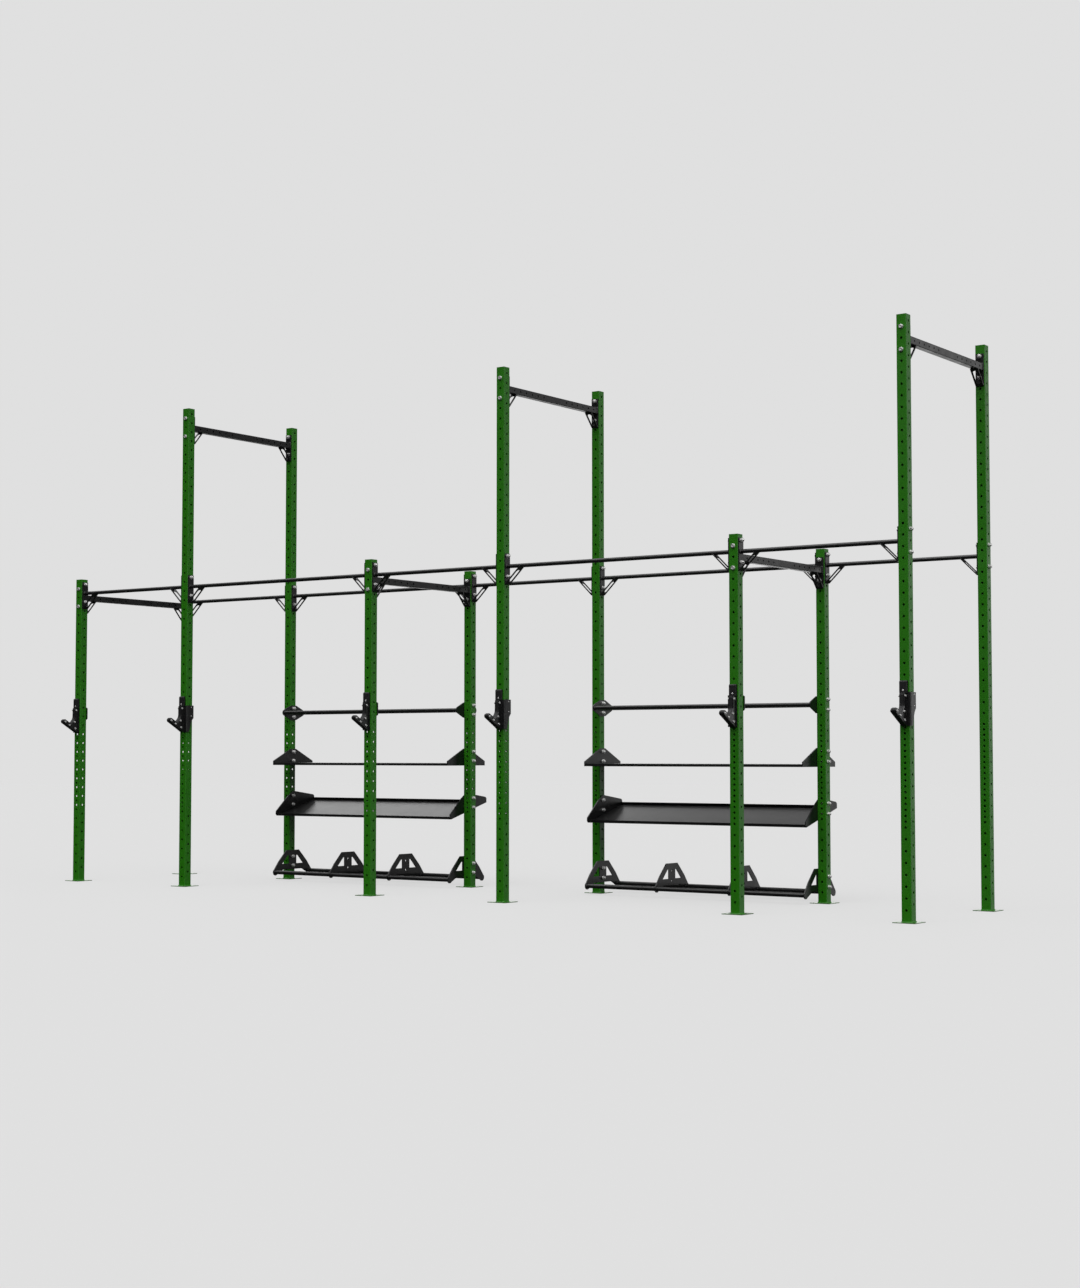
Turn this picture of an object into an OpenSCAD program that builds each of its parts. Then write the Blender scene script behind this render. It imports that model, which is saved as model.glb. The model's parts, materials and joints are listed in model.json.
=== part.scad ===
// Twelve-post training rig with pull-up bars, lift-off bar hooks and two storage bays.
// X runs along the rig, -Y is the front row, Z is up, and the floor is Z = 0.
// Every height given below is measured from the top of the foot plates, where the tubes start.
// The origin is the centre of the base of the whole rig's bounding box.

/* [Posts] */
// Distance between neighbouring holes up a post
pitch = 75; // [50:5:100]
// Outside width of the square post tube
tube_w = 70; // [50:1:100]
// Wall thickness of the post tube
tube_t = 3; // [2:0.5:6]
// Outside corner radius of the post tube
tube_r = 5; // [1:0.5:10]
// Height of a short post, in hole pitches
short_pitches = 34; // [20:1:40]
// Height of a tall post, in hole pitches
tall_pitches = 52; // [36:1:60]
// Length of tube left above the last pitch
tube_over = 6; // [0:1:20]
// First and last pitch of the closely spaced front holes
dense_first = 8; // [2:1:12]
dense_last = 17; // [12:1:24]
// Diameter of every post hole
hole_d = 17; // [12:0.5:22]

/* [Layout] */
// Post centre distance across a bar-hook bay
short_bay = 1252; // [900:1:1500]
// Post centre distance across a storage bay
long_bay = 1955; // [1500:1:2400]
// Distance between the front row and the back row
row_gap = 1258; // [800:1:1800]

/* [Feet] */
// Side of the square foot plate
foot_w = 160; // [120:1:250]
// Thickness of the foot plate
foot_t = 5; // [4:1:15]
// Distance between the anchor holes of one foot
anchor_gap = 120; // [100:1:200]
// Diameter of an anchor hole
anchor_d = 14; // [10:0.5:18]

/* [Bars and beams] */
// Diameter of the pull-up bars
bar_d = 30; // [25:0.5:42]
// Height of the pull-up bars, in hole pitches
bar_pitches = 32.5; // [20:0.5:33]
// Side of the square cross beam
beam_w = 50; // [40:1:70]
// Wall thickness of the cross beam
beam_t = 3; // [2:0.5:5]
// Diameter of the holes along a cross beam
beam_hole_d = 14; // [8:0.5:18]
// Height of the cross beams below the post top, in hole pitches
beam_drop = 2; // [1:1:4]
// Thickness of every flange and bracket plate
plate_t = 8; // [5:1:12]
// Width of a flange plate
flange_w = 60; // [40:1:70]
// Flange above and below the centre of its bar
flange_up = 93; // [80:1:120]
flange_down = 133; // [90:1:160]
// Thickness and slot width of a gusset strap
strap_t = 6; // [4:1:10]
strap_slot = 36; // [20:1:46]
// Reach of the gusset strap from the post centre, for a bar and for a beam
strap_reach_bar = 165; // [120:1:220]
strap_reach_beam = 140; // [100:1:220]

/* [Fasteners] */
// Diameter of the frame bolts
bolt_d = 16; // [10:1:20]
// Width across the flats of the bolt head and nut
bolt_af = 24; // [17:1:30]
// Height of the bolt head and of the nut
head_h = 10; // [6:1:14]
nut_h = 13; // [8:1:18]
// Diameter and thickness of a washer
washer_d = 30; // [24:1:40]
washer_t = 3; // [1.5:0.5:5]
// Thread showing past the nut
bolt_tail = 6; // [2:1:12]

/* [Bar hooks] */
// Height of the hook's lower end
hook_z = 1250; // [900:1:1600]
// Overall height of the hook
hook_h = 288; // [200:1:320]
// Width of the spine and upper pad, and of the arm across both cheeks
hook_w = 52; // [40:1:60]
arm_w = 38; // [24:1:50]
// Thickness of the hook's steel
hook_t = 6; // [5:1:10]
// Thickness of a cheek plate
cheek_t = 7; // [4:1:10]
// Gap between the hook's steel and the post
hook_gap = 1; // [0.5:0.5:3]
// Slope of the hook's arm
arm_tilt = 29; // [15:1:45]
// Half the depth of the arm
arm_r = 16.5; // [10:0.5:25]
// Place of the round end of the arm: in front of the post, above the hook's lower end
arm_out = 149.5; // [90:0.5:180]
arm_up = 93; // [60:1:140]
// How far the plastic liner stands proud of the cheeks, and the thickness of the upper pad
liner_up = 3; // [1:0.5:6]
pad_t = 15; // [8:1:20]
// Diameter of the pins that enter the post
pin_d = 15; // [10:0.5:16.5]

/* [Ball rack] */
// Height of the ball rack bars, in hole pitches
ball_pitches = 19; // [10:0.5:24]
// Half the distance between the two ball bars
ball_half = 110; // [80:1:200]

/* [Flat shelf] */
// Height of the underside of the flat shelf
shelf_z = 975; // [600:1:1200]
// Depth and edge height of the flat shelf
shelf_depth = 500; // [300:1:600]
shelf_lip = 20; // [12:1:40]
// Thickness of the shelf sheet
sheet_t = 3; // [1.5:0.5:5]

/* [Sloped tray] */
// Slope of the tray
tray_tilt = 15.2; // [0:0.1:30]
// Front lower edge of the tray: in front of the post centre, and its height
tray_front = 200; // [150:1:300]
tray_z = 543; // [300:1:800]
// Length of the tray along its slope, and the height of its lips
tray_depth = 491; // [300:1:600]
tray_lip = 22; // [10:1:40]
// Back end of the tray bracket, behind the post centre
tray_back = 274; // [200:1:400]

/* [Floor rack] */
// Diameter of the rack rails
rail_d = 34; // [25:1:45]
// Half the distance between the rails, and their height
rail_half = 215; // [150:1:280]
rail_z = 61; // [30:1:100]
// Height of a divider's top and half its width there
divider_top = 244; // [180:1:300]
divider_half = 79; // [40:1:120]

/* [Hidden] */
$fn = 48;
// The hooks reach in front of the front row, and the tray brackets behind the back row
front_reach = tube_w / 2 + arm_out + arm_r + liner_up / 2 * (1 - sin(arm_tilt));
row_shift = (front_reach - tray_back) / 2;
rows = [row_shift - row_gap / 2, row_shift + row_gap / 2];
col_1 = -(3 * short_bay + 2 * long_bay) / 2;
cols = [col_1,
        col_1 + short_bay,
        col_1 + short_bay + long_bay,
        col_1 + 2 * short_bay + long_bay,
        col_1 + 2 * short_bay + 2 * long_bay,
        col_1 + 3 * short_bay + 2 * long_bay];
half_w = tube_w / 2;
face = half_w + plate_t;
bar_z = bar_pitches * pitch;
ball_z = ball_pitches * pitch;
// The posts that carry the left and right end of each storage bay
store_bays = [[1, 2], [3, 4]];
// Bolt heights of the ball rack, flat shelf, sloped tray and floor rack
store_bolts = [19.5, 18.5, 14.5, 13.5, 9.5, 8.5, 2.5, 1.5];
// Heights of the hook's pins, at the half pitches that the side holes use
pin_z = [17.5 * pitch, 18.5 * pitch];
// Hook stations: post column and the side that its side plate is on
hooks = [[0, -1], [1, 1], [2, -1], [3, 1], [4, -1], [5, 1]];
cheek_in = arm_w / 2 - cheek_t;
wrap_x = half_w + hook_gap + 5;

green = [0.12, 0.33, 0.08];
black = [0.07, 0.07, 0.075];
plastic = [0.1, 0.1, 0.105];
zinc = [0.78, 0.78, 0.76];

function post_h(c) = (c % 2 == 1 ? tall_pitches : short_pitches) * pitch;
function beam_z(c) = post_h(c) - beam_drop * pitch;
function tops(c) = round(post_h(c) / pitch);
function front_holes(c) = concat([for (k = [1 : tops(c) - 1]) k * pitch],
                                 [for (k = [dense_first : dense_last - 1]) (k + 0.5) * pitch]);
function side_holes(c) = [for (k = [1 : tops(c) - 1]) (k + 0.5) * pitch];
function bay_inside(b) = cols[b + 1] - cols[b] - 2 * face;

// ---------- shared shapes ----------

module rounded_square(w, r) {
    square([w - 2 * r, w], center = true);
    square([w, w - 2 * r], center = true);
    for (sx = [-1, 1], sy = [-1, 1])
        translate([sx * (w / 2 - r), sy * (w / 2 - r)])
            circle(r);
}

module tube_section(w, t, r) {
    difference() {
        rounded_square(w, r);
        rounded_square(w - 2 * t, max(r - t, 0.5));
    }
}

// Drill along X or along Y, centred on the origin
module drill_x(d, l) {
    rotate([0, 90, 0])
        cylinder(d = d, h = l, center = true);
}

module drill_y(d, l) {
    rotate([90, 0, 0])
        cylinder(d = d, h = l, center = true);
}

// Plate in the YZ plane: its outline is drawn as [y, z] and it grows towards +X
module side_plate(t) {
    rotate([90, 0, 90])
        linear_extrude(t)
            children();
}

// ---------- posts ----------

module post(c, r) {
    color(green)
    translate([cols[c], rows[r], foot_t])
    difference() {
        linear_extrude(post_h(c) + tube_over)
            tube_section(tube_w, tube_t, tube_r);
        for (z = front_holes(c))
            translate([0, 0, z])
                drill_y(hole_d, tube_w + 2);
        for (z = side_holes(c))
            translate([0, 0, z])
                drill_x(hole_d, tube_w + 2);
    }
}

module foot_plates() {
    color(green)
    for (x = cols, y = rows)
        translate([x, y, 0])
            difference() {
                linear_extrude(foot_t)
                    rounded_square(foot_w, 4);
                for (sx = [-1, 1], sy = [-1, 1])
                    translate([sx, sy, 0] * anchor_gap / 2)
                        cylinder(d = anchor_d, h = 3 * foot_t, center = true);
            }
}

module post_caps() {
    inside = tube_w - 2 * tube_t;
    color(plastic)
    for (c = [0 : 5], y = rows)
        translate([cols[c], y, foot_t + post_h(c) + tube_over - 12])
            difference() {
                linear_extrude(12)
                    rounded_square(inside, tube_r - tube_t);
                translate([0, 0, -1])
                    linear_extrude(10)
                        rounded_square(inside - 6, 1);
            }
}

// ---------- pull-up bars, cross beams, flanges and gussets ----------

module pullup_bar(b, r) {
    color(black)
    translate([cols[b] + face, rows[r], foot_t + bar_z])
        rotate([0, 90, 0])
            cylinder(d = bar_d, h = bay_inside(b));
}

module cross_beam(c) {
    length = row_gap - 2 * face;
    color(black)
    translate([cols[c], (rows[0] + rows[1]) / 2, foot_t + beam_z(c)])
    difference() {
        rotate([90, 0, 0])
            translate([0, 0, -length / 2])
                linear_extrude(length)
                    tube_section(beam_w, beam_t, 4);
        for (k = [1, 2, 3, 4, 5, 6, 10, 11, 12, 13, 14, 15])
            translate([0, (k + 0.5) * pitch - row_gap / 2, 0])
                drill_x(beam_hole_d, beam_w + 2);
    }
}

module low_cross_beams() {
    for (c = [0, 2, 4])
        cross_beam(c);
}

module high_cross_beams() {
    for (c = [1, 3, 5])
        cross_beam(c);
}

// Flange against the +X face of a post, around a bar whose centre is the origin
module flange() {
    translate([half_w, 0, 0])
        difference() {
            translate([0, -flange_w / 2, -flange_down])
                cube([plate_t, flange_w, flange_up + flange_down]);
            for (s = [-1, 1])
                translate([0, 0, s * pitch])
                    drill_x(hole_d, 3 * plate_t);
        }
}

// Sloping strap from the foot of a flange up to the bar, which is cut out as children
module strap(reach, under) {
    run = reach - face;
    rise = flange_down - under;
    slope = atan2(rise, run);
    length = norm([run, rise]);
    top = under - bar_d / 3;
    more = (under - top) / tan(slope);
    difference() {
        rotate([90, 0, 0])
            translate([0, 0, -flange_w / 2])
                linear_extrude(flange_w)
                    polygon([[face, -flange_down],
                             [face, -flange_down + strap_t / cos(slope)],
                             [reach + more - strap_t / sin(slope), -top],
                             [reach + more, -top]]);
        translate([face, 0, -flange_down])
            rotate([0, -slope, 0]) {
                for (s = [0.26, 0.74])
                    translate([length * s, 0, 0])
                        cylinder(d = strap_slot, h = 5 * strap_t, center = true);
                translate([length / 2, 0, 0])
                    cube([length * 0.48, strap_slot, 5 * strap_t], center = true);
            }
        children();
    }
}

// Puts a bar fitting on each end of every pull-up bar
module at_bar_ends() {
    for (b = [0 : 4], r = [0, 1]) {
        translate([cols[b], rows[r], foot_t + bar_z])
            children();
        translate([cols[b + 1], rows[r], foot_t + bar_z])
            rotate([0, 0, 180])
                children();
    }
}

// Puts a beam fitting on each end of every cross beam
module at_beam_ends() {
    for (c = [0 : 5], r = [0, 1])
        translate([cols[c], rows[r], foot_t + beam_z(c)])
            rotate([0, 0, r == 0 ? 90 : -90])
                children();
}

module flange_plates() {
    color(black) {
        at_bar_ends() flange();
        at_beam_ends() flange();
    }
}

module gusset_straps() {
    color(black) {
        at_bar_ends()
            strap(strap_reach_bar, bar_d / 2)
                drill_x(bar_d, 1000);
        at_beam_ends()
            strap(strap_reach_beam, beam_w / 2)
                translate([0, -beam_w, -beam_w / 2])
                    cube([1000, 2 * beam_w, beam_w]);
    }
}

// ---------- storage bays ----------

// Puts an end plate on both inner faces of each storage bay, mirrored at the right end
module at_store_ends() {
    for (bay = store_bays) {
        translate([cols[bay[0]] + half_w, rows[1], foot_t])
            children();
        translate([cols[bay[1]] - half_w, rows[1], foot_t])
            mirror([1, 0, 0])
                children();
    }
}

module bolt_holes(pair) {
    for (k = pair)
        translate([0, k * pitch])
            circle(d = hole_d);
}

module ball_plate_outline() {
    tip_r = 26;
    top = [35, 62];
    reach = norm([ball_half - top[0], top[1]]);
    angle = atan2(top[1], top[0] - ball_half) - acos(tip_r / reach);
    touch = [ball_half + tip_r * cos(angle), tip_r * sin(angle)];
    for (s = [-1, 1])
        translate([s * ball_half, ball_z])
            circle(tip_r);
    translate([0, ball_z])
        polygon([[-top[0], top[1]], top,
                 touch, [touch[0], -touch[1]],
                 [top[0], -top[1]], [-top[0], -top[1]],
                 [-touch[0], -touch[1]], [-touch[0], touch[1]]]);
}

module ball_rack_plates() {
    color(black)
    at_store_ends()
        side_plate(plate_t)
            difference() {
                ball_plate_outline();
                bolt_holes([19.5, 18.5]);
            }
}

module ball_rack_bars() {
    color(black)
    for (bay = store_bays, s = [-1, 1])
        translate([cols[bay[0]] + face, rows[1] + s * ball_half, foot_t + ball_z])
            rotate([0, 90, 0])
                cylinder(d = bar_d, h = bay_inside(bay[0]));
}

module flat_shelf(bay) {
    length = bay_inside(store_bays[bay][0]);
    color(black)
    translate([cols[store_bays[bay][0]] + face, rows[1] - shelf_depth / 2, foot_t + shelf_z]) {
        translate([0, 0, shelf_lip - sheet_t])
            cube([length, shelf_depth, sheet_t]);
        cube([length, sheet_t, shelf_lip]);
        translate([0, shelf_depth - sheet_t, 0])
            cube([length, sheet_t, shelf_lip]);
        for (k = [1 : 3])
            translate([k * length / 4 - 20, shelf_depth / 2 - 235, 0])
                cube([sheet_t, 470, shelf_lip]);
    }
}

module flat_shelf_brackets() {
    half = shelf_depth / 2;
    color(black)
    at_store_ends()
        side_plate(plate_t)
            difference() {
                polygon([[-half, shelf_z], [half, shelf_z],
                         [half, shelf_z + 36], [34, shelf_z + 138],
                         [-34, shelf_z + 138], [-half, shelf_z + 36]]);
                bolt_holes([14.5, 13.5]);
            }
}

module sloped_tray(bay) {
    length = bay_inside(store_bays[bay][0]);
    color(black)
    translate([cols[store_bays[bay][0]] + face, rows[1] - tray_front, foot_t + tray_z])
        rotate([tray_tilt, 0, 0]) {
            cube([length, tray_depth, sheet_t]);
            cube([length, sheet_t, tray_lip]);
            translate([0, tray_depth - sheet_t, 0])
                cube([length, sheet_t, tray_lip]);
        }
}

module sloped_tray_brackets() {
    color(black)
    at_store_ends()
        side_plate(plate_t)
            difference() {
                polygon([[-200, 543], [-214, 556], [-212, 582], [-62, 711],
                         [-4, 750], [22, 750], [tray_back - 14, 718], [tray_back, 706],
                         [tray_back, 672]]);
                bolt_holes([9.5, 8.5]);
            }
}

module rack_rails() {
    color(black)
    for (bay = store_bays, s = [-1, 1])
        translate([cols[bay[0]] + half_w, rows[1] + s * rail_half, foot_t + rail_z])
            rotate([0, 90, 0])
                cylinder(d = rail_d, h = bay_inside(bay[0]) + 2 * plate_t);
}

module divider_outline() {
    ring = 28;
    difference() {
        union() {
            for (s = [-1, 1])
                translate([s * rail_half, rail_z])
                    circle(ring);
            polygon([[-divider_half, divider_top], [divider_half, divider_top],
                     [178, 149], [rail_half + 23, rail_z + 14],
                     [rail_half - 18, rail_z - 20], [118, 80], [-118, 80],
                     [-rail_half + 18, rail_z - 20], [-rail_half - 23, rail_z + 14],
                     [-178, 149]]);
        }
        for (s = [-1, 1]) {
            translate([s * rail_half, rail_z])
                circle(d = rail_d);
            polygon([[s * 46, 198], [s * 46, 128], [s * 134, 128], [s * 64, 198]]);
        }
        bolt_holes([2.5, 1.5]);
    }
}

module rack_dividers() {
    color(black)
    for (bay = store_bays, k = [0 : 3])
        translate([cols[bay[0]] + half_w + k * (bay_inside(bay[0]) + plate_t) / 3,
                   rows[1], foot_t])
            side_plate(plate_t)
                divider_outline();
}

// ---------- fasteners ----------

// Bolt along +X: the underside of its head is at the origin
module hex_bolt(l) {
    rotate([0, 90, 0]) {
        translate([0, 0, -head_h])
            cylinder(d = bolt_af / cos(30), h = head_h, $fn = 6);
        cylinder(d = bolt_d, h = l);
    }
}

module hex_nut() {
    rotate([0, 90, 0])
        difference() {
            cylinder(d = bolt_af / cos(30), h = nut_h, $fn = 6);
            translate([0, 0, -1])
                cylinder(d = bolt_d + 0.1, h = nut_h + 2);
        }
}

module washer() {
    rotate([0, 90, 0])
        difference() {
            cylinder(d = washer_d, h = washer_t);
            translate([0, 0, -1])
                cylinder(d = bolt_d + 1, h = washer_t + 2);
        }
}

// One joint's pieces, for a stack from x = lo to x = hi: the head is on the low side
module bolt_in(lo, hi) {
    translate([lo - washer_t, 0, 0])
        hex_bolt(hi - lo + 2 * washer_t + nut_h + bolt_tail);
}

module nut_in(lo, hi) {
    translate([hi + washer_t, 0, 0])
        hex_nut();
}

module washers_in(lo, hi) {
    translate([lo - washer_t, 0, 0])
        washer();
    translate([hi, 0, 0])
        washer();
}

// kind 0 is the bolt, kind 1 the nut, kind 2 the washers
module joint_piece(kind, lo, hi) {
    if (kind == 0) bolt_in(lo, hi);
    if (kind == 1) nut_in(lo, hi);
    if (kind == 2) washers_in(lo, hi);
}

module frame_fasteners(kind) {
    for (c = [0 : 5], r = [0, 1], s = [-1, 1]) {
        translate([cols[c], rows[r], foot_t + bar_z + s * pitch])
            joint_piece(kind, c > 0 ? -face : -half_w, c < 5 ? face : half_w);
        translate([cols[c], rows[r], foot_t + beam_z(c) + s * pitch])
            rotate([0, 0, r == 0 ? 90 : -90])
                joint_piece(kind, -half_w, face);
    }
}

module store_fasteners(kind) {
    for (bay = store_bays, k = store_bolts) {
        translate([cols[bay[0]], rows[1], foot_t + k * pitch])
            joint_piece(kind, -half_w, face);
        translate([cols[bay[1]], rows[1], foot_t + k * pitch])
            joint_piece(kind, -face, half_w);
    }
}

module frame_bolts() {
    color(zinc)
        frame_fasteners(0);
}

module storage_bolts() {
    color(zinc)
        store_fasteners(0);
}

module nuts() {
    color(zinc) {
        frame_fasteners(1);
        store_fasteners(1);
    }
}

module washers() {
    color(zinc) {
        frame_fasteners(2);
        store_fasteners(2);
    }
}

// ---------- bar hooks ----------

// Moves a hook drawn for the +X side of a post at the origin to its own post
module at_hook(n) {
    translate([cols[hooks[n][0]], rows[0], foot_t + hook_z])
        mirror([hooks[n][1] < 0 ? 1 : 0, 0, 0])
            children();
}

// Side view of the arm and body, as [distance in front of the post, height above the lower
// end]. proud moves the bar's seat and the body's front outwards.
module hook_outline(proud) {
    tip_r = arm_r + proud / 2;
    arm_half = tip_r - 0.4;
    shift = [-proud / 2 * sin(arm_tilt), proud / 2 * cos(arm_tilt)];
    tip = [arm_out, arm_up] + shift;
    back = 148;
    translate(tip)
        circle(tip_r);
    translate(tip)
        rotate(arm_tilt)
            translate([-back, -arm_half])
                square([back, 2 * arm_half]);
    polygon([[hook_gap + hook_t, 0], [17, 0], [27, 4.5], [82 + proud, 70],
             [73 + proud, 81], [64 + proud, 92], [54 + proud, 102], [45 + proud, 113],
             [40 + proud, 124], [38 + proud, 138], [37 + proud, 196], [34 + proud, 209],
             [hook_gap + hook_t, 209]]);
}

// The part of the hook in front of the post, t thick, from the given X place
module hook_slab(x, t, proud) {
    translate([x, -half_w, 0])
        mirror([0, 1, 0])
            intersection() {
                side_plate(t)
                    hook_outline(proud);
                translate([-1, hook_gap + hook_t, -10])
                    cube([t + 2, 300, hook_h + 20]);
            }
}

module hook_pins(d, x_from, x_to) {
    for (z = pin_z)
        translate([x_from, 0, z - hook_z])
            rotate([0, 90, 0])
                cylinder(d = d, h = x_to - x_from);
}

// Rectangle from one corner to the other, with rounded corners
module rounded_box(low, high, r) {
    size = high - low;
    translate(low) {
        translate([r, 0])
            square([size[0] - 2 * r, size[1]]);
        translate([0, r])
            square([size[0], size[1] - 2 * r]);
        for (x = [r, size[0] - r], y = [r, size[1] - r])
            translate([x, y])
                circle(r);
    }
}

// Bent plate seen from above: across the front, along the side and behind the post
module wrap_section() {
    y_in = half_w + hook_gap;
    y_out = y_in + hook_t;
    difference() {
        rounded_box([-60, -y_out], [wrap_x + hook_t, y_out], 9);
        rounded_box([-70, -y_in], [wrap_x, y_in], 3);
        translate([-61, -y_out - 1])
            square([61 - hook_w / 2, y_out + 1]);
        translate([-61, 0])
            square([61 - 42, y_out + 1]);
    }
}

module hook_steel(n) {
    y_in = half_w + hook_gap;
    y_out = y_in + hook_t;
    color(black)
    at_hook(n) {
        // spine behind the plastic
        translate([-hook_w / 2, -y_out, 0])
            cube([hook_w, hook_t, hook_h - 3]);
        // bent wrap, cut away behind the side plate's curved edge
        difference() {
            linear_extrude(214)
                wrap_section();
            translate([-60, 0, 0])
                side_plate(120)
                    polygon([[-14, -1], [-14, 0], [-5, 22], [5, 60], [14, 84],
                             [26, 102], [35, 110], [50, 112], [50, -1]]);
            // chamfers on the free end behind the post
            translate([0, 50, 0])
                rotate([90, 0, 0])
                    linear_extrude(30) {
                        polygon([[-50, 200], [-42, 206], [-32, 216], [-50, 216]]);
                        polygon([[-50, 128], [-42, 120], [-32, 110], [-50, 110]]);
                    }
        }
        // cheeks
        for (x = [-arm_w / 2, cheek_in])
            hook_slab(x, cheek_t, 0);
        hook_pins(pin_d, 12, wrap_x + 1);
    }
}

module hook_pads(n) {
    y_out = half_w + hook_gap + hook_t;
    color(plastic)
    at_hook(n) {
        // liner between the cheeks
        hook_slab(-cheek_in, 2 * cheek_in, liner_up);
        // upper pad, above the cheeks
        translate([-hook_w / 2, -y_out, 0])
            rotate([90, 0, 90])
                linear_extrude(hook_w)
                    polygon([[0, 209], [-pad_t, 209], [-pad_t, hook_h - 7],
                             [-pad_t + 7, hook_h], [0, hook_h]]);
        // side pad, between the post and the side plate
        difference() {
            translate([half_w + hook_gap, 0, 0])
                side_plate(wrap_x - half_w - hook_gap)
                    polygon([[-30, 30], [-10, 30], [0, 62], [9, 86], [20, 104],
                             [28, 114], [28, 206], [-30, 206]]);
            hook_pins(pin_d + 2, half_w, wrap_x + 1);
        }
    }
}

// Cheek bolts as [distance in front of the post, height above the lower end]
cheek_bolts = [[31, 189.5], [49, 90], [40, 35.5], [103.5, 64], [151, 91]];

module hook_screws(n) {
    color(zinc)
    at_hook(n) {
        for (p = cheek_bolts)
            translate([0, -half_w - p[0], p[1]])
                for (s = [-1, 1])
                    rotate([0, s * 90, 0])
                        translate([0, 0, arm_w / 2]) {
                            cylinder(d = 16, h = 1.6);
                            cylinder(d = 13 / cos(30), h = 6.9, $fn = 6);
                        }
        translate([0, -half_w - hook_gap - hook_t - pad_t, 224.5])
            rotate([90, 0, 0])
                cylinder(d = 13, h = 2.5);
        for (z = [126, 199])
            translate([wrap_x + hook_t, 10, z])
                rotate([0, 90, 0])
                    cylinder(d = 10, h = 2);
    }
}

post(0, 0);  // post_front_1
post(1, 0);  // post_front_2
post(2, 0);  // post_front_3
post(3, 0);  // post_front_4
post(4, 0);  // post_front_5
post(5, 0);  // post_front_6
post(0, 1);  // post_back_1
post(1, 1);  // post_back_2
post(2, 1);  // post_back_3
post(3, 1);  // post_back_4
post(4, 1);  // post_back_5
post(5, 1);  // post_back_6
foot_plates();
post_caps();
pullup_bar(0, 0);  // pullup_bar_front_1
pullup_bar(1, 0);  // pullup_bar_front_2
pullup_bar(2, 0);  // pullup_bar_front_3
pullup_bar(3, 0);  // pullup_bar_front_4
pullup_bar(4, 0);  // pullup_bar_front_5
pullup_bar(0, 1);  // pullup_bar_back_1
pullup_bar(1, 1);  // pullup_bar_back_2
pullup_bar(2, 1);  // pullup_bar_back_3
pullup_bar(3, 1);  // pullup_bar_back_4
pullup_bar(4, 1);  // pullup_bar_back_5
low_cross_beams();
high_cross_beams();
flange_plates();
gusset_straps();
ball_rack_plates();
ball_rack_bars();
flat_shelf(0);  // flat_shelf_left
flat_shelf(1);  // flat_shelf_right
flat_shelf_brackets();
sloped_tray(0);  // sloped_tray_left
sloped_tray(1);  // sloped_tray_right
sloped_tray_brackets();
rack_rails();
rack_dividers();
frame_bolts();
storage_bolts();
nuts();
washers();
hook_steel(0);  // hook_1_steel
hook_pads(0);  // hook_1_pads
hook_screws(0);  // hook_1_screws
hook_steel(1);  // hook_2_steel
hook_pads(1);  // hook_2_pads
hook_screws(1);  // hook_2_screws
hook_steel(2);  // hook_3_steel
hook_pads(2);  // hook_3_pads
hook_screws(2);  // hook_3_screws
hook_steel(3);  // hook_4_steel
hook_pads(3);  // hook_4_pads
hook_screws(3);  // hook_4_screws
hook_steel(4);  // hook_5_steel
hook_pads(4);  // hook_5_pads
hook_screws(4);  // hook_5_screws
hook_steel(5);  // hook_6_steel
hook_pads(5);  // hook_6_pads
hook_screws(5);  // hook_6_screws
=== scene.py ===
"""Training rig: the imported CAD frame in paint, plastic and zinc, with the detail of real hardware.

The pieces made here are bolts, nuts, washers, weld beads and moulded caps. They take their places from the
frame.
"""

import json
import math

import bmesh
import bpy
from mathutils import Matrix, Vector


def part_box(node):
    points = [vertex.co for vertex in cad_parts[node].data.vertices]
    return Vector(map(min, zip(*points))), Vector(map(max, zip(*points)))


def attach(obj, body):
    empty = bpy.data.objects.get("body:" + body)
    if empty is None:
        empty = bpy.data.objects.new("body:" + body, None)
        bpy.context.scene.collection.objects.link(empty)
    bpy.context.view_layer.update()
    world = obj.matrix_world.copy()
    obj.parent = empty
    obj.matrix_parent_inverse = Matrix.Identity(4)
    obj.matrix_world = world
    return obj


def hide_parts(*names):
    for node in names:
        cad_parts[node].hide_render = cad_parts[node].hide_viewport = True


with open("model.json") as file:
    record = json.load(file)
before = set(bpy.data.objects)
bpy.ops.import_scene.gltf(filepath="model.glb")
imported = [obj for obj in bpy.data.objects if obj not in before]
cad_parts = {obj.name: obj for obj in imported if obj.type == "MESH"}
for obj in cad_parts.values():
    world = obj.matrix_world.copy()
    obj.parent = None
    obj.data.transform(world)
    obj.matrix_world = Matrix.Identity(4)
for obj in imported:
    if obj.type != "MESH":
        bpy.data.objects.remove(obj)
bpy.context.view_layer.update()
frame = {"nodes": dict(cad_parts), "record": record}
nodes = frame["nodes"]

MM = 0.001
FRONT = [f"post_front_{k}" for k in range(1, 7)]
BACK = [f"post_back_{k}" for k in range(1, 7)]


def middle(node):
    """Centre of a CAD node's box."""
    low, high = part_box(node)
    return (low + high) / 2


def mesh_object(name, mesh, material):
    mesh.materials.append(material)
    made = bpy.data.objects.new(name, mesh)
    bpy.context.scene.collection.objects.link(made)
    return made


# ---------- camera, light and room ----------


def make_camera():
    """The photograph's viewpoint: to the right of the rig, at chest height, with a short telephoto lens."""
    from_first_post = Vector((13.4356, -12.2600, 1.0718))
    tilt_up, turn_left = 0.052868, 0.61414
    first_post = middle(FRONT[0])
    data = bpy.data.cameras.new("camera")
    data.sensor_width = 36
    data.lens = 58.235
    data.clip_end = 200
    camera = bpy.data.objects.new("camera", data)
    camera.location = Vector((first_post.x, first_post.y, 0)) + from_first_post
    camera.rotation_euler = (math.pi / 2 + tilt_up, 0, turn_left)
    bpy.context.scene.collection.objects.link(camera)
    bpy.context.scene.camera = camera


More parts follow.
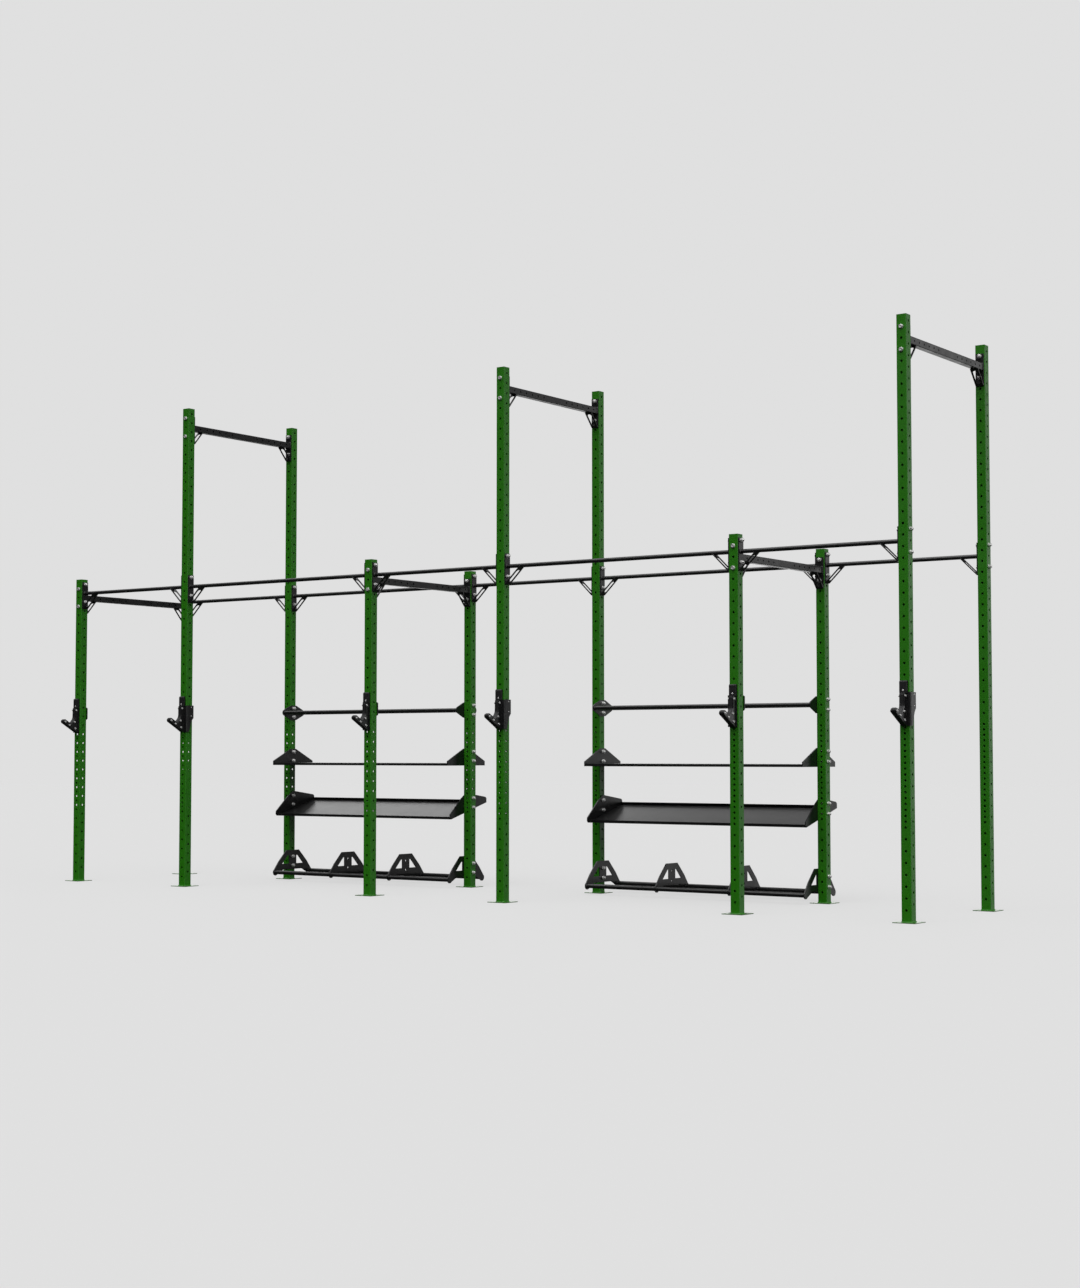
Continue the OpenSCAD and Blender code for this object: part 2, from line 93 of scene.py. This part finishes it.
def direction(azimuth, elevation):
    """A unit vector. Azimuth is in degrees from +X towards +Y, and elevation is above the horizon."""
    a, e = math.radians(azimuth), math.radians(elevation)
    return Vector((math.cos(a) * math.cos(e), math.sin(a) * math.cos(e), math.sin(e)))


def make_soft_light(name, towards, spread, strength):
    """A far panel: it lights every post alike. Its spread is its width in degrees, as seen from the rig."""
    data = bpy.data.lights.new(name, "SUN")
    data.angle = math.radians(spread)
    data.energy = strength
    light = bpy.data.objects.new(name, data)
    light.rotation_euler = (-towards).to_track_quat("-Z", "Y").to_euler()
    bpy.context.scene.collection.objects.link(light)


def glow(tree, way, towards, full, faded, strength):
    """One soft panel of the world: full up to some degrees from its middle, and faded out at some more."""
    dot = tree.nodes.new("ShaderNodeVectorMath")
    dot.operation = "DOT_PRODUCT"
    dot.inputs[1].default_value = towards
    tree.links.new(way, dot.inputs[0])
    fall = tree.nodes.new("ShaderNodeMapRange")
    fall.interpolation_type = "SMOOTHSTEP"
    fall.inputs["From Min"].default_value = math.cos(math.radians(faded))
    fall.inputs["From Max"].default_value = math.cos(math.radians(full))
    fall.inputs["To Max"].default_value = strength
    tree.links.new(dot.outputs["Value"], fall.inputs["Value"])
    return fall.outputs["Result"]


def make_world(base, panels):
    """A dim studio with soft panels far away, for the glossy sides of the rig to reflect."""
    world = bpy.data.worlds.new("studio")
    world.use_nodes = True
    tree = world.node_tree
    sky = tree.nodes["Background"]
    way = tree.nodes.new("ShaderNodeTexCoord").outputs["Generated"]
    total = None
    for panel in panels:
        plus = tree.nodes.new("ShaderNodeMath")
        tree.links.new(glow(tree, way, *panel), plus.inputs[0])
        if total:
            tree.links.new(total, plus.inputs[1])
        else:
            plus.inputs[1].default_value = base
        total = plus.outputs["Value"]
    tree.links.new(total, sky.inputs["Strength"])
    sky.inputs["Color"].default_value = (1, 1, 1, 1)
    bpy.context.scene.world = world


def stage_object(name, material, shape, **size):
    mesh = bpy.data.meshes.new(name)
    bm = bmesh.new()
    shape(bm, **size)
    bm.to_mesh(mesh)
    bm.free()
    made = mesh_object(name, mesh, material)
    made.visible_glossy = made.visible_diffuse = False
    return made


def make_room(floor_material, wall_material, reach):
    """A pale floor out to the wall of a round studio. The wall only shows: the world lights the rig."""
    stage_object("floor", floor_material, bmesh.ops.create_circle, cap_ends=True, segments=64, radius=reach)
    wall = stage_object("backdrop", wall_material, bmesh.ops.create_icosphere, subdivisions=4, radius=reach)
    wall.visible_shadow = wall.visible_transmission = wall.visible_volume_scatter = False


# ---------- materials ----------


class Surface:
    """A material with a Principled shader, and short ways to wire its nodes."""

    def __init__(self, name, **values):
        self.material = bpy.data.materials.new(name)
        self.material.use_nodes = True
        self.tree = self.material.node_tree
        self.shader = self.tree.nodes["Principled BSDF"]
        self.place = self.tree.nodes.new("ShaderNodeTexCoord").outputs["Object"]
        for socket, value in values.items():
            self.shader.inputs[socket].default_value = value

    def node(self, kind, links=(), **settings):
        """A new node. A setting is one of its properties or, with _ for each space, one of its inputs."""
        made = self.tree.nodes.new(kind)
        for key, value in settings.items():
            if hasattr(made, key):
                setattr(made, key, value)
            else:
                made.inputs[key.replace("_", " ")].default_value = value
        for socket, source in dict(links).items():
            self.tree.links.new(source, made.inputs[socket])
        return made

    def noise(self, size, detail, stretch=(1, 1, 1)):
        """Noise whose features are about size metres across."""
        mapping = self.node("ShaderNodeMapping", {"Vector": self.place}, Scale=stretch)
        return self.node("ShaderNodeTexNoise", {"Vector": mapping.outputs["Vector"]},
                         Scale=1 / size, Detail=detail).outputs["Fac"]

    def ramp(self, source, low, high, colours):
        """Two colours across the range from low to high of a value."""
        made = self.node("ShaderNodeValToRGB", {"Fac": source})
        for stop, place, colour in zip(made.color_ramp.elements, (low, high), colours):
            stop.position = place
            stop.color = (*colour, 1)
        return made.outputs["Color"]

    def spread(self, source, low, high):
        """Noise, whose values are mostly from 0.3 to 0.7, made to run from low to high."""
        return self.node("ShaderNodeMapRange", {"Value": source}, To_Min=low, To_Max=high,
                         From_Min=0.3, From_Max=0.7).outputs["Result"]

    def mix(self, share, one, other):
        """A blend of two colours."""
        made = self.node("ShaderNodeMix", data_type="RGBA")
        ends = {socket.identifier: socket for socket in made.inputs}
        self.tree.links.new(share, ends["Factor_Float"])
        self.tree.links.new(one, ends["A_Color"])
        self.tree.links.new(other, ends["B_Color"])
        return next(socket for socket in made.outputs if socket.identifier == "Result_Color")

    def feed(self, socket, source):
        self.tree.links.new(source, self.shader.inputs[socket])

    def bump(self, height, depth, edge):
        """Surface relief depth metres deep, over edges softened by edge metres."""
        made = self.node("ShaderNodeBump", {"Height": height}, Strength=1.0, Distance=depth)
        soft = self.node("ShaderNodeBevel", samples=4, Radius=edge)
        self.tree.links.new(soft.outputs["Normal"], made.inputs["Normal"])
        self.feed("Normal", made.outputs["Normal"])


def powder_coat(name, dark, light, rough, relief=1.0, ior=1.5):
    """Baked powder paint: fine orange peel, slow drifts of tone, and a gloss that varies a little."""
    drift, patches, flecks = 450 * MM, 30 * MM, 4 * MM
    smears, peel, peel_depth = 120 * MM, 1.6 * MM, 0.06 * MM
    s = Surface(name, IOR=ior)
    slow = s.ramp(s.noise(drift, 4), 0.3, 0.7, (dark, light))
    fine = s.ramp(s.noise(flecks, 2), 0.25, 0.75, ([0.94 * c for c in dark], [1.05 * c for c in light]))
    share = s.spread(s.noise(patches, 2), 0.15, 0.55)
    s.feed("Base Color", s.mix(share, slow, fine))
    s.feed("Roughness", s.spread(s.noise(smears, 5), rough - 0.05 * relief, rough + 0.06 * relief))
    s.bump(s.noise(peel, 2), peel_depth * relief, edge=1.2 * MM)
    return s.material


def moulded_plastic(name, dark, light):
    """Moulded plastic with faint clouds and a fine grain."""
    clouds, smears, grain, grain_depth = 30 * MM, 20 * MM, 1.1 * MM, 0.1 * MM
    s = Surface(name, IOR=1.49)
    s.feed("Base Color", s.ramp(s.noise(clouds, 5), 0.35, 0.7, (dark, light)))
    s.feed("Roughness", s.spread(s.noise(smears, 4), 0.42, 0.58))
    s.bump(s.noise(grain, 4), grain_depth, edge=1.5 * MM)
    return s.material


def zinc_plate(name, dark, light):
    """Bright zinc with cloudy patches and fine marks across its height."""
    clouds, smears, marks, mark_depth = 6 * MM, 4 * MM, 0.8 * MM, 0.05 * MM
    s = Surface(name, Metallic=0.6)
    s.feed("Base Color", s.ramp(s.noise(clouds, 5), 0.3, 0.75, (dark, light)))
    s.feed("Roughness", s.spread(s.noise(smears, 5), 0.24, 0.42))
    s.bump(s.noise(marks, 3, stretch=(1, 1, 4)), mark_depth, edge=0.6 * MM)
    return s.material


def glow_surface(name, level):
    """A pale surface that is evenly lit."""
    material = bpy.data.materials.new(name)
    material.use_nodes = True
    tree = material.node_tree
    tree.nodes.clear()
    light = tree.nodes.new("ShaderNodeEmission")
    light.inputs["Color"].default_value = (level, level, level, 1)
    out = tree.nodes.new("ShaderNodeOutputMaterial")
    tree.links.new(light.outputs["Emission"], out.inputs["Surface"])
    return material


def floor_paint(level, albedo):
    """Matt pale paint that is partly evenly lit already, so that shadows on it stay faint."""
    material = glow_surface("floor_paint", level)
    tree = material.node_tree
    matt = tree.nodes.new("ShaderNodeBsdfDiffuse")
    matt.inputs["Color"].default_value = (albedo, albedo, albedo, 1)
    both = tree.nodes.new("ShaderNodeAddShader")
    tree.links.new(tree.nodes["Emission"].outputs["Emission"], both.inputs[0])
    tree.links.new(matt.outputs["BSDF"], both.inputs[1])
    tree.links.new(both.outputs["Shader"], tree.nodes["Material Output"].inputs["Surface"])
    return material


GREEN = powder_coat("green_powder", (0.018, 0.178, 0.002), (0.023, 0.205, 0.003), 0.38)
BLACK = powder_coat("black_powder", (0.0045, 0.0045, 0.005), (0.0075, 0.0075, 0.008), 0.34, ior=1.7)
SHELF = powder_coat("shelf_powder", (0.010, 0.010, 0.0105), (0.012, 0.012, 0.0125), 0.29, relief=0.2)
FEET = powder_coat("foot_powder", (0.040, 0.150, 0.020), (0.050, 0.170, 0.025), 0.14)
PLASTIC = moulded_plastic("hook_plastic", (0.007, 0.007, 0.0075), (0.012, 0.012, 0.0125))
ZINC = zinc_plate("zinc_plate", (0.72, 0.73, 0.73), (0.90, 0.89, 0.87))


def paint(node, material):
    materials = nodes[node].data.materials
    materials.clear()
    materials.append(material)


def paint_frame():
    """Every CAD node gets its slot's material. The shelves, trays and feet have a finish of their own."""
    looks = {"post_paint": GREEN, "black_paint": BLACK, "zinc": ZINC, "black_plastic": PLASTIC}
    for part in frame["record"]["subparts"]:
        paint(part["node"], looks[part["material_slot"]])
    for side in ("left", "right"):
        paint(f"flat_shelf_{side}", SHELF)
        paint(f"sloped_tray_{side}", SHELF)
    paint("foot_plates", FEET)


# ---------- reading the frame's parts ----------


def merged(node):
    """A CAD node's world points with doubles merged, and for each the numbers of those it has an edge to."""
    obj = nodes[node]
    same, points, index = {}, [], []
    for v in obj.data.vertices:
        key = tuple(round(c / MM * 100) for c in v.co)
        if key not in same:
            same[key] = len(points)
            points.append(obj.matrix_world @ v.co)
        index.append(same[key])
    near = [[] for _ in points]
    for edge in obj.data.edges:
        a, b = (index[v] for v in edge.vertices)
        near[a].append(b)
        near[b].append(a)
    return points, near


def solids_of(node):
    """The separate solids of a CAD node, each as a list of its world points."""
    points, near = merged(node)
    seen = [False] * len(points)
    found = []
    for first in range(len(points)):
        if seen[first]:
            continue
        seen[first] = True
        todo = [first]
        solid = []
        while todo:
            k = todo.pop()
            solid.append(points[k])
            for n in near[k]:
                if not seen[n]:
                    seen[n] = True
                    todo.append(n)
        found.append(solid)
    return found


def extent(solid):
    """The lowest and highest corners of a solid's box."""
    low = Vector([min(p[k] for p in solid) for k in range(3)])
    high = Vector([max(p[k] for p in solid) for k in range(3)])
    return low, high


def axis_along(size, pick):
    """The number of the axis along which a size is least, with pick=min, or greatest, with pick=max."""
    return pick(range(3), key=lambda n: size[n])


def across(size, k):
    """The lesser width of a solid across axis k. On a hexagon this is the width across its flats."""
    return min(size[n] for n in range(3) if n != k)


def end_radius(solid, centre, k, level):
    """How far a solid's end face, at a level along axis k, reaches from the axis through its centre."""
    arms = [p - centre for p in solid if abs(p[k] - level) < 0.1 * MM]
    return max((arm - axis_vector(k) * arm[k]).length for arm in arms)


def axis_vector(k, sign=1):
    return Vector([sign if n == k else 0 for n in range(3)])


def aimed(place, axis, turn=0.0):
    """A matrix that puts local +Z along an axis at a place, turned about it."""
    turned = axis.to_track_quat("Z", "Y").to_matrix().to_4x4() @ Matrix.Rotation(turn, 4, "Z")
    return Matrix.Translation(place) @ turned


# ---------- building detail ----------


class Detail:
    """One mesh piece, built from rings of points."""

    def __init__(self):
        self.bm = bmesh.new()

    def ring(self, matrix, points):
        return [self.bm.verts.new(matrix @ Vector(p)) for p in points]

    def bridge(self, a, b):
        for k in range(len(a)):
            n = (k + 1) % len(a)
            self.bm.faces.new((a[k], a[n], b[n], b[k]))

    def close(self, rings):
        self.bm.faces.new(rings[0][::-1])
        self.bm.faces.new(rings[-1])

    def lathe(self, matrix, rings):
        """Joins rings from bottom to top and closes both ends."""
        made = [self.ring(matrix, points) for points in rings]
        for a, b in zip(made, made[1:]):
            self.bridge(a, b)
        self.close(made)

    def loop(self, matrix, rings):
        """Joins rings round a hole: the last ring meets the first."""
        made = [self.ring(matrix, points) for points in rings]
        for a, b in zip(made, made[1:] + made[:1]):
            self.bridge(a, b)

    def sweep(self, sections, closed):
        """Joins cross sections, already in world places, along a path."""
        made = [self.ring(Matrix(), section) for section in sections]
        for a, b in zip(made, made[1:] + (made[:1] if closed else [])):
            self.bridge(a, b)
        if not closed:
            self.close(made)

    def finish(self, name, material, body, stands_for=None):
        """Makes the piece, with smooth shading inside edges that bend less than 40 degrees."""
        bmesh.ops.recalc_face_normals(self.bm, faces=self.bm.faces)
        mesh = bpy.data.meshes.new(name)
        self.bm.to_mesh(mesh)
        self.bm.free()
        mesh.shade_smooth()
        mesh.set_sharp_from_angle(angle=math.radians(40))
        made = mesh_object(name, mesh, material)
        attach(made, body)
        if stands_for:
            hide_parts(stands_for)


# ---------- fasteners ----------

# Directions of the points on a round or hexagonal ring
ROUND = [2 * math.pi * k / 36 for k in range(36)]
# Radius of the round face on a hexagon, in widths across its flats
FACE = 0.475
# How steeply a hexagon's corners are cut back
CHAMFER = math.radians(30)

# The M16 bolts and nuts of the frame
BOLT_HEAD = 10 * MM
BOLT_RADIUS = 8 * MM
THREAD_LENGTH = 24 * MM
THREAD_PITCH = 2 * MM


def polar(r, a, z):
    return (r * math.cos(a), r * math.sin(a), z)


def circle(radius, z):
    return [polar(radius, a, z) for a in ROUND]


def hex_reach(flats, a):
    """Distance from the middle of a hexagon to its side, in the direction a."""
    return flats / 2 / math.cos((a + math.pi / 6) % (math.pi / 3) - math.pi / 6)


def hexagon(flats, z):
    return [polar(hex_reach(flats, a), a, z) for a in ROUND]


def chamfered(flats, z, towards):
    """A hexagon's rim where a cone has cut its corners back, towards +1 or -1 along Z."""
    points = []
    for a in ROUND:
        r = hex_reach(flats, a)
        points.append(polar(r, a, z - towards * (r - FACE * flats) * math.tan(CHAMFER)))
    return points


def thread(major, low, high):
    """Rings of a helical thread between two heights, four to a pitch."""
    depth = 0.6 * THREAD_PITCH
    count = round((high - low) / THREAD_PITCH * 4)
    rings = []
    for k in range(count + 1):
        z = low + (high - low) * k / count
        waves = [abs(2 * ((z / THREAD_PITCH - a / (2 * math.pi)) % 1) - 1) for a in ROUND]
        rings.append([polar(major - depth * wave, a, z) for a, wave in zip(ROUND, waves)])
    return rings


def bolt(detail, matrix, flats, shank, length):
    """A hexagon head below Z = 0, dished and with a washer face, a shank, and thread on its end."""
    dish, washer_face, runout, point = 0.35 * MM, 0.6 * MM, 0.5 * MM, 1.2 * MM
    thread_start = length - THREAD_LENGTH
    rings = [circle(0.30 * flats, dish - BOLT_HEAD), circle(0.33 * flats, -BOLT_HEAD),
             circle(FACE * flats, -BOLT_HEAD), chamfered(flats, -BOLT_HEAD, -1),
             hexagon(flats, -washer_face), circle(FACE * flats, -washer_face), circle(0.47 * flats, 0),
             circle(shank, 0), circle(shank, thread_start)]
    rings += thread(shank, thread_start + runout, length - point)
    rings.append(circle(shank - 1.5 * point, length))
    detail.lathe(matrix, rings)


def nut(detail, matrix, flats, bore, height):
    """A nut centred on Z = 0 with both rims chamfered and its bore countersunk."""
    half, sink_width, sink_depth = height / 2, 1 * MM, 1.2 * MM
    detail.loop(matrix, [circle(bore, sink_depth - half), circle(bore + sink_width, -half),
                         circle(FACE * flats, -half), chamfered(flats, -half, -1), chamfered(flats, half, 1),
                         circle(FACE * flats, half), circle(bore + sink_width, half),
                         circle(bore, half - sink_depth)])


def washer(detail, matrix, outer, bore, thick):
    """A stamped washer centred on Z = 0: its upper rim is rounded, and its lower rim only a little."""
    half = thick / 2
    detail.loop(matrix, [circle(bore, -half), circle(outer - 0.2 * MM, -half), circle(outer, 0.3 * MM - half),
                         circle(outer, half - 0.9 * MM), circle(outer - 0.35 * MM, half - 0.3 * MM),
                         circle(outer - 1 * MM, half), circle(bore + 0.2 * MM, half)])


def small_hexagon_head(detail, matrix, wide):
    """A bolt head on its washer, above Z = 0."""
    flats, washer_top, top = 13 * MM, 1.6 * MM, 6.9 * MM
    rim = 0.5 * MM
    detail.lathe(matrix, [circle(wide, 0), circle(wide, washer_top - rim), circle(wide - rim, washer_top),
                          circle(FACE * flats, washer_top), hexagon(flats, washer_top + rim),
                          chamfered(flats, top, 1), circle(FACE * flats, top), circle(0.30 * flats, top),
                          circle(0.27 * flats, top - 0.3 * MM)])


def domed_head(detail, matrix, wide, tall):
    """A button head with a hexagon socket, above Z = 0."""
    dome = [(1, 0), (1, 0.3), (0.93, 0.62), (0.78, 0.86), (0.58, 1)]
    socket_flats, socket_floor = 0.84 * wide, 0.35 * tall
    rings = [circle(out * wide, up * tall) for out, up in dome]
    rings += [hexagon(socket_flats, tall), hexagon(socket_flats, socket_floor)]
    detail.lathe(matrix, rings)


def turn_of(place):
    """A repeatable turn for the fastener at a place, as if it had been tightened by hand."""
    return (place.x * 7.13 + place.y * 3.71 + place.z * 11.9) % 1 * math.pi / 3


def frame_bolts(name, node):
    """Bolts in place of a CAD node's, with each head on the end that is wider."""
    detail = Detail()
    for solid in solids_of(node):
        low, high = extent(solid)
        size = high - low
        place = (low + high) / 2
        k = axis_along(size, max)
        radius = {-1: end_radius(solid, place, k, low[k]), 1: end_radius(solid, place, k, high[k])}
        head_end = max(radius, key=radius.get)
        place[k] = high[k] - BOLT_HEAD if head_end > 0 else low[k] + BOLT_HEAD
        matrix = aimed(place, axis_vector(k, -head_end), turn_of(place))
        bolt(detail, matrix, across(size, k), radius[-head_end], size[k] - BOLT_HEAD)
    detail.finish(name, ZINC, "frame", node)


def frame_nuts():
    detail = Detail()
    for solid in solids_of("nuts"):
        low, high = extent(solid)
        size = high - low
        place = (low + high) / 2
        k = axis_along(size, min)
        matrix = aimed(place, axis_vector(k), turn_of(place))
        nut(detail, matrix, across(size, k), BOLT_RADIUS + 0.05 * MM, size[k])
    detail.finish("lock_nuts", ZINC, "frame", "nuts")


def frame_washers():
    detail = Detail()
    for solid in solids_of("washers"):
        low, high = extent(solid)
        size = high - low
        k = axis_along(size, min)
        matrix = aimed((low + high) / 2, axis_vector(k))
        washer(detail, matrix, max(size) / 2, BOLT_RADIUS + 0.5 * MM, size[k])
    detail.finish("stamped_washers", ZINC, "frame", "washers")


def hook_fasteners(n):
    """Hexagon heads on the outside of the hook's cheeks, and domed heads that face the front."""
    detail = Detail()
    node = f"hook_{n}_screws"
    heart = middle(f"hook_{n}_pads")
    tallest_dome = 5 * MM
    for solid in solids_of(node):
        low, high = extent(solid)
        size = high - low
        place = (low + high) / 2
        k = axis_along(size, min)
        faces_right = k == 0 and place.x > heart.x
        place[k] = (low if faces_right else high)[k]
        matrix = aimed(place, axis_vector(k, 1 if faces_right else -1), turn_of(place))
        if size[k] > tallest_dome:
            small_hexagon_head(detail, matrix, max(size) / 2)
        else:
            domed_head(detail, matrix, max(size) / 2, size[k])
    detail.finish(f"hook_{n}_fasteners", ZINC, f"hook_{n}", node)


# ---------- welds ----------

# About how far apart the sections of a weld are
WELD_STEP = 1.3 * MM


def unit(a):
    """A unit vector in the XY plane."""
    return Vector(polar(1, a, 0))


def rounded_square_path(half, radius):
    """Points and outward directions round a square with rounded corners."""
    straight = half - radius
    side_steps = max(1, round(2 * straight / WELD_STEP))
    corner_steps = max(2, round(radius * math.pi / 2 / WELD_STEP))
    path = []
    for side in range(4):
        turn = Matrix.Rotation(side * math.pi / 2, 3, "Z")
        for k in range(side_steps):
            along = 2 * straight * k / side_steps - straight
            path.append((turn @ Vector((half, along, 0)), turn @ unit(0)))
        for k in range(corner_steps):
            out = unit(math.pi / 2 * k / corner_steps)
            path.append((turn @ (Vector((straight, straight, 0)) + out * radius), turn @ out))
    return path


def round_path(radius):
    """Points and outward directions round a circle."""
    count = round(2 * math.pi * radius / WELD_STEP)
    outs = [unit(2 * math.pi * k / count) for k in range(count)]
    return [(out * radius, out) for out in outs]


def straight_path(length):
    """Points of a run along local Y, with its outward direction along local X."""
    count = round(length / WELD_STEP)
    return [(Vector((0, length * k / count - length / 2, 0)), unit(0)) for k in range(count + 1)]


def weld(detail, matrix, path, leg, seed, closed=True):
    """A hand-run fillet along a path in the local XY plane, standing up local Z, with its ripples."""
    sunk, ripple_length = 0.6 * MM, 3.4 * MM
    slow, fast = 61, 157
    sections = []
    run = 0.0
    before = path[0][0]
    for point, out in path:
        run += (point - before).length
        before = point
        ripple = 1 - 0.16 * abs(math.sin(math.pi * run / ripple_length))
        drift = 1 + 0.07 * math.sin(run * slow + seed) + 0.05 * math.sin(run * fast + 2 * seed)
        size = leg * ripple * drift
        section = [point - out * sunk - Vector((0, 0, sunk))]
        section += [point + out * size * math.cos(a) + Vector((0, 0, size * math.sin(a)))
                    for a in (0, math.pi / 6, math.pi / 3, math.pi / 2)]
        sections.append([matrix @ p for p in section])
    detail.sweep(sections, closed)


def foot_welds():
    """Fillets where the posts stand on their foot plates."""
    corner, leg = 5 * MM, 5 * MM
    detail = Detail()
    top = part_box("foot_plates")[1].z
    for k, node in enumerate(FRONT + BACK):
        low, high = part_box(node)
        place = (low + high) / 2
        place.z = top
        weld(detail, Matrix.Translation(place), rounded_square_path((high.x - low.x) / 2, corner), leg, k)
    detail.finish("foot_welds", GREEN, "frame")


def bar_welds():
    """Fillets where the pull-up bars, the ball rack bars and the square beams meet their end plates."""
    corner, leg = 4 * MM, 4 * MM
    bars = [f"pullup_bar_{row}_{k}" for row in ("front", "back") for k in range(1, 6)]
    ends = []
    for node in bars + ["ball_rack_bars"]:
        for solid in solids_of(node):
            low, high = extent(solid)
            ends.append((0, low, high, round_path((high.z - low.z) / 2)))
    for node in ("low_cross_beams", "high_cross_beams"):
        for solid in solids_of(node):
            low, high = extent(solid)
            ends.append((1, low, high, rounded_square_path((high.x - low.x) / 2, corner)))
    detail = Detail()
    seed = 0
    for k, low, high, path in ends:
        for end, sign in ((low, 1), (high, -1)):
            seed += 1
            place = (low + high) / 2
            place[k] = end[k]
            weld(detail, aimed(place, axis_vector(k, sign)), path, leg, seed)
    detail.finish("bar_welds", BLACK, "frame")


def rack_welds():
    """Fillets round the rack rails, on each face of a divider that a rail comes out of."""
    leg, least_rail = 3.5 * MM, 2 * MM
    detail = Detail()
    rails = [extent(solid) for solid in solids_of("rack_rails")]
    for k, solid in enumerate(solids_of("rack_dividers")):
        low, high = extent(solid)
        for rail_low, rail_high in rails:
            for x, sign in ((low.x, -1), (high.x, 1)):
                if rail_low.x + least_rail < x < rail_high.x - least_rail:
                    place = (rail_low + rail_high) / 2
                    place.x = x
                    path = round_path((rail_high.z - rail_low.z) / 2)
                    weld(detail, aimed(place, axis_vector(0, sign)), path, leg, k)
    detail.finish("rack_welds", BLACK, "frame")


def strap_welds():
    """A run across the foot of every gusset strap, where it leaves its flange."""
    strap_width, strap_foot, leg = 52 * MM, 9.2 * MM, 4 * MM
    up = axis_vector(2)
    detail = Detail()
    posts = [middle(node) for node in FRONT + BACK]
    for seed, solid in enumerate(solids_of("flange_plates")):
        low, high = extent(solid)
        place = (low + high) / 2
        k = 0 if high.x - low.x < high.y - low.y else 1
        post = min(posts, key=lambda p: (p - place).to_2d().length)
        sign = 1 if place[k] > post[k] else -1
        place[k] = (high if sign > 0 else low)[k]
        place.z = low.z + strap_foot
        out = axis_vector(k, sign)
        turn = Matrix((up, up.cross(out), out)).transposed().to_4x4()
        weld(detail, Matrix.Translation(place) @ turn, straight_path(strap_width), leg, seed, closed=False)
    detail.finish("strap_welds", BLACK, "frame")


# ---------- tube caps ----------


def rounded_square(half, z):
    corner = 2 * MM
    points = []
    for side in range(4):
        turn = Matrix.Rotation(side * math.pi / 2, 3, "Z")
        for k in range(5):
            point = Vector((half - corner, half - corner, 0)) + unit(math.pi / 8 * k) * corner
            points.append(turn @ point + Vector((0, 0, z)))
    return points


def moulded_caps():
    """Plastic plugs, flush with the tube ends: a bevelled rim round a slightly raised middle."""
    inset_and_height = [(0, -1.6), (1.6, 0), (6, 0), (7, -0.8), (9, -0.8), (11, 0.4)]
    detail = Detail()
    for solid in solids_of("post_caps"):
        low, high = extent(solid)
        half = (high.x - low.x) / 2
        place = (low + high) / 2
        place.z = high.z
        rings = [rounded_square(half, low.z - high.z)]
        rings += [rounded_square(half - inset * MM, z * MM) for inset, z in inset_and_height]
        detail.lathe(Matrix.Translation(place), rings)
    detail.finish("moulded_caps", PLASTIC, "frame", "post_caps")


# ---------- put it together ----------

bpy.context.scene.view_settings.view_transform = "Standard"
make_camera()
# Towards each panel of the world, degrees where it is full and where it has faded, and strength
make_world(0.03, [(direction(68, 5), 4, 17, 0.95),
                  (direction(128, 8), 12, 24, 1.0),
                  (direction(137, 23), 3, 12, 1.0),
                  (direction(114, -11), 4, 16, 0.8)])
make_soft_light("overhead", direction(0, 90), spread=100, strength=2.4)
make_soft_light("front", direction(-85, 52), spread=60, strength=1.35)
make_soft_light("right", direction(-12, 18), spread=40, strength=0.65)
# The floor's own glow and what its paint sends back from these lights add up to the tone of the wall
make_room(floor_paint(level=0.575, albedo=0.14), glow_surface("backdrop_paint", level=0.745), reach=60)

paint_frame()
frame_bolts("frame_hex_bolts", "frame_bolts")
frame_bolts("storage_hex_bolts", "storage_bolts")
frame_nuts()
frame_washers()
for n in range(1, 7):
    hook_fasteners(n)
foot_welds()
bar_welds()
rack_welds()
strap_welds()
moulded_caps()
